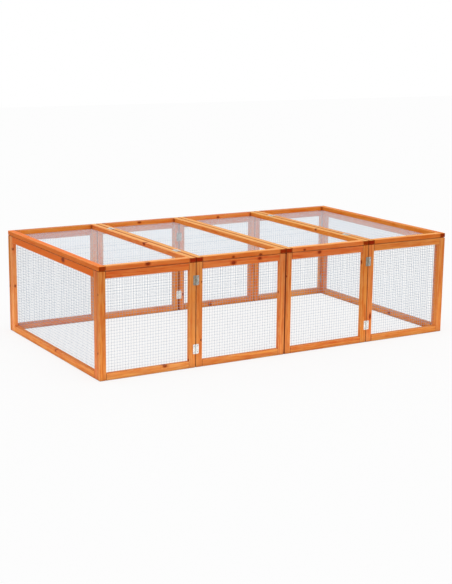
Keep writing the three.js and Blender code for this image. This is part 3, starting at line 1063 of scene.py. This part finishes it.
def corner_leaf_mesh(name, knuckles, top):
    """A flat leaf let into the wood on the +x side of its axis, its knuckles tubes round the pin."""
    bm = bmesh.new()
    outline = leaf_outline(knuckles, CORNER_KNUCKLE + KNUCKLE_GAP)
    add_slab(bm, outline, screw_holes(), top - LEAF_THICKNESS, top)
    for high, low in knuckles:
        add_sleeve(bm, CORNER_KNUCKLE, PIN_RADIUS, low, high)
    return finished(bm, name, CORNER_BEVEL, CORNER_WEAR)


def add_corner_hinges():
    """Hinges let in between the ends and the walls, shut while the run stands, half open when folded."""
    axis = next(joint["pos_m"] for joint in frame["joints"] if joint["name"] == "front_left_corner_fold")
    end_top = LEAF_THICKNESS / 2
    wall_top = end_top - CORNER_WALL_LEAF
    end_leaf = corner_leaf_mesh("corner_end_leaf", OUTER_KNUCKLES, end_top)
    wall_leaf = corner_leaf_mesh("corner_wall_leaf", MIDDLE_KNUCKLE, wall_top)
    for end, end_out, number in (("left_end", -X, 1), ("right_end", X, PANELS_PER_SIDE)):
        for side, wall_out in SIDES.items():
            for place in ("lower", "upper"):
                height = sum(corner.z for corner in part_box(f"{side}_hinge_12_{place}_pin_leaf")) / 2
                axis_at = end_out * abs(axis[0]) + wall_out * abs(axis[1]) + Z * height
                matrix = basis(end_out, wall_out.cross(end_out), wall_out, axis_at)
                name = f"{side}_{end}_corner_hinge_{place}"
                leaves = (("end_leaf", end_leaf, matrix, end_top, end),
                          ("wall_leaf", wall_leaf, matrix @ TURNED_OVER, wall_top, f"{side}_{number}"))
                for word, mesh, leaf_at, top, body in leaves:
                    add_piece(f"{name}_{word}", mesh, PLATE, leaf_at, body, "zinc_hinge")
                    add_screws(f"{name}_{word}", BRIGHT.screw, leaf_at, top - SCREW_DOME, body)
                add_piece(f"{name}_pin", BRIGHT.pin, STEEL, matrix @ PIN_UPRIGHT, end, "zinc_hinge")


def add_wall_hinges():
    """Hinges of the front and back wall, outside at the outer joints and inside at the middle one."""
    for side, out in SIDES.items():
        for index in NUMBERS[:-1]:
            face = -out if index == PANELS_PER_SIDE // 2 else out
            first, second = f"{side}_{index}", f"{side}_{index + 1}"
            for place, kit in (("lower", BRIGHT), ("upper", DULL)):
                name = f"{side}_hinge_{index}{index + 1}_{place}"
                on_first = f"{name}_pin_leaf" in frame["record"]["behaviour"]["bodies"][first]
                bodies = (first, second) if on_first else (second, first)
                joint_hinge(name, kit, face, Z, *bodies)


def add_lid_hinges():
    """Hinges on top of the lids, between an outer lid and the one beside it."""
    for index in NUMBERS[::2]:
        for place in ("front", "back"):
            name = f"lid_hinge_{index}{index + 1}_{place}"
            joint_hinge(name, BRIGHT, Z, Y, f"lid_{index + 1}", f"lid_{index}")


# ------------ stage

# The camera: the photo's size and focal length in pixels, the rest in metres and radians.
PHOTO_WIDTH, PHOTO_HEIGHT = 452, 584
FOCAL_PIXELS = 1243.83
CAMERA_AT = Vector((-2.98646, -4.97595, 1.45058))
CAMERA_HEADING = math.radians(30.916)
CAMERA_DIP = math.radians(12.269)
CAMERA_ROLL = math.radians(0.652)
SENSOR_MM = 36.0
CLIP_END = 200.0

# The floor is white to the camera, and for the rest it glows, at these distances from the run's outline.
FLOOR_SIZE = 30.0
FLOOR_DROP = 0.8 * MM
FLOOR_WHITE = (0.86, 0.86, 0.86, 1.0)
FLOOR_GREY = (0.3, 0.3, 0.3, 1.0)
FLOOR_GLOW, HIDDEN_GLOW = 0.78, 0.5
GLOW_OUTSIDE = 1.8
GLOW_INSIDE = 1.5
GLOW_START = (0.0, 0.02)
GLOW_END = (0.1, 0.9)
GLOW_INNER_START = (-0.025, -0.05)
AMBIENT = 0.77
SUN_STRENGTH = 0.95
SUN_SPREAD = math.radians(50)
SUN_FROM = Vector((-0.08, -0.2, 0.97))


def add_camera():
    """A camera where the photo's was, found by fitting a pinhole camera to the run's edges."""
    camera = add_object("camera", bpy.data.cameras.new("camera"))
    camera.data.sensor_width = SENSOR_MM
    camera.data.lens = FOCAL_PIXELS * SENSOR_MM / max(PHOTO_WIDTH, PHOTO_HEIGHT)
    camera.data.clip_end = CLIP_END
    level = Vector((math.sin(CAMERA_HEADING), math.cos(CAMERA_HEADING), 0))
    forward = level * math.cos(CAMERA_DIP) - Z * math.sin(CAMERA_DIP)
    right = forward.cross(Z).normalized()
    right = Matrix.Rotation(-CAMERA_ROLL, 3, forward) @ right
    camera.matrix_world = basis(right, right.cross(forward), -forward, CAMERA_AT)
    bpy.context.scene.camera = camera


def backdrop_rays(s):
    """1 for a ray straight from the camera, and 1 for every ray that sees the background."""
    path = s.node("LightPath")
    straight = path.outputs["Is Camera Ray"]
    seen = s.math("MAXIMUM", straight, path.outputs["Is Glossy Ray"])
    return straight, s.math("MAXIMUM", seen, path.outputs["Is Transmission Ray"])


def add_world():
    """Even light from all sides, which looks white itself."""
    world = bpy.data.worlds.new("studio")
    bpy.context.scene.world = world
    s = Shader(world)
    strength = s.ramp(backdrop_rays(s)[1], 0.0, 1.0, AMBIENT, 1.0)
    s.finish(s.fed("Background", Color=(1, 1, 1, 1), Strength=strength))


def add_floor():
    """A light table: white to the eye, it glows round the run and inside it, but not under its foot."""
    half = FLOOR_SIZE / 2
    signs = ((-1, -1), (1, -1), (1, 1), (-1, 1))
    corners = [Vector((x * half, y * half, -FLOOR_DROP)) for x, y in signs]
    mesh = mesh_of("floor", corners, [(0, 1, 2, 3)])
    s = Shader(bpy.data.materials.new("white_floor"))
    straight, seen = backdrop_rays(s)
    reach = (CAD_BOX[1] - CAD_BOX[0]) / 2
    place = s.node("SeparateXYZ")
    s.feed(place.inputs[0], s.vector("ABSOLUTE", s.node("TexCoord").outputs["Object"]))
    beyond = [s.math("SUBTRACT", place.outputs[axis], reach[axis]) for axis in (0, 1)]
    distance = s.math("MAXIMUM", *beyond)
    ring = s.math("MULTIPLY", s.ramp(distance, *GLOW_START), s.ramp(distance, *GLOW_END, GLOW_OUTSIDE, 0.0))
    ring = s.math("ADD", ring, s.ramp(distance, *GLOW_INNER_START, 0.0, GLOW_INSIDE))
    matte = s.fed("BsdfDiffuse", Color=s.mix(seen, FLOOR_GREY, FLOOR_WHITE))
    glow = s.fed("Emission", Strength=s.ramp(straight, 0.0, 1.0, s.math("MAXIMUM", seen, ring), 1.0))
    blend = s.node("MixShader")
    for socket, value in zip(blend.inputs, (s.ramp(seen, 0.0, 1.0, HIDDEN_GLOW, FLOOR_GLOW), matte, glow)):
        s.feed(socket, value)
    mesh.materials.append(s.finish(blend.outputs[0]))
    floor = add_object("floor", mesh)


def add_sun():
    """A wide soft light from above."""
    sun = add_object("soft_sun", bpy.data.lights.new("soft_sun", "SUN"))
    sun.data.energy = SUN_STRENGTH
    sun.data.angle = SUN_SPREAD
    sun.rotation_mode = "QUATERNION"
    sun.rotation_quaternion = SUN_FROM.to_track_quat("Z", "Y")


bpy.context.scene.view_settings.view_transform = "Standard"
add_camera()
add_world()
add_floor()
add_sun()

for number, panel in enumerate(PANELS):
    add_sticks(panel, SEEDS_PER_PANEL * number + 1)
    add_wire_mesh(panel, number)
add_wall_hinges()
add_lid_hinges()
add_corner_hinges()
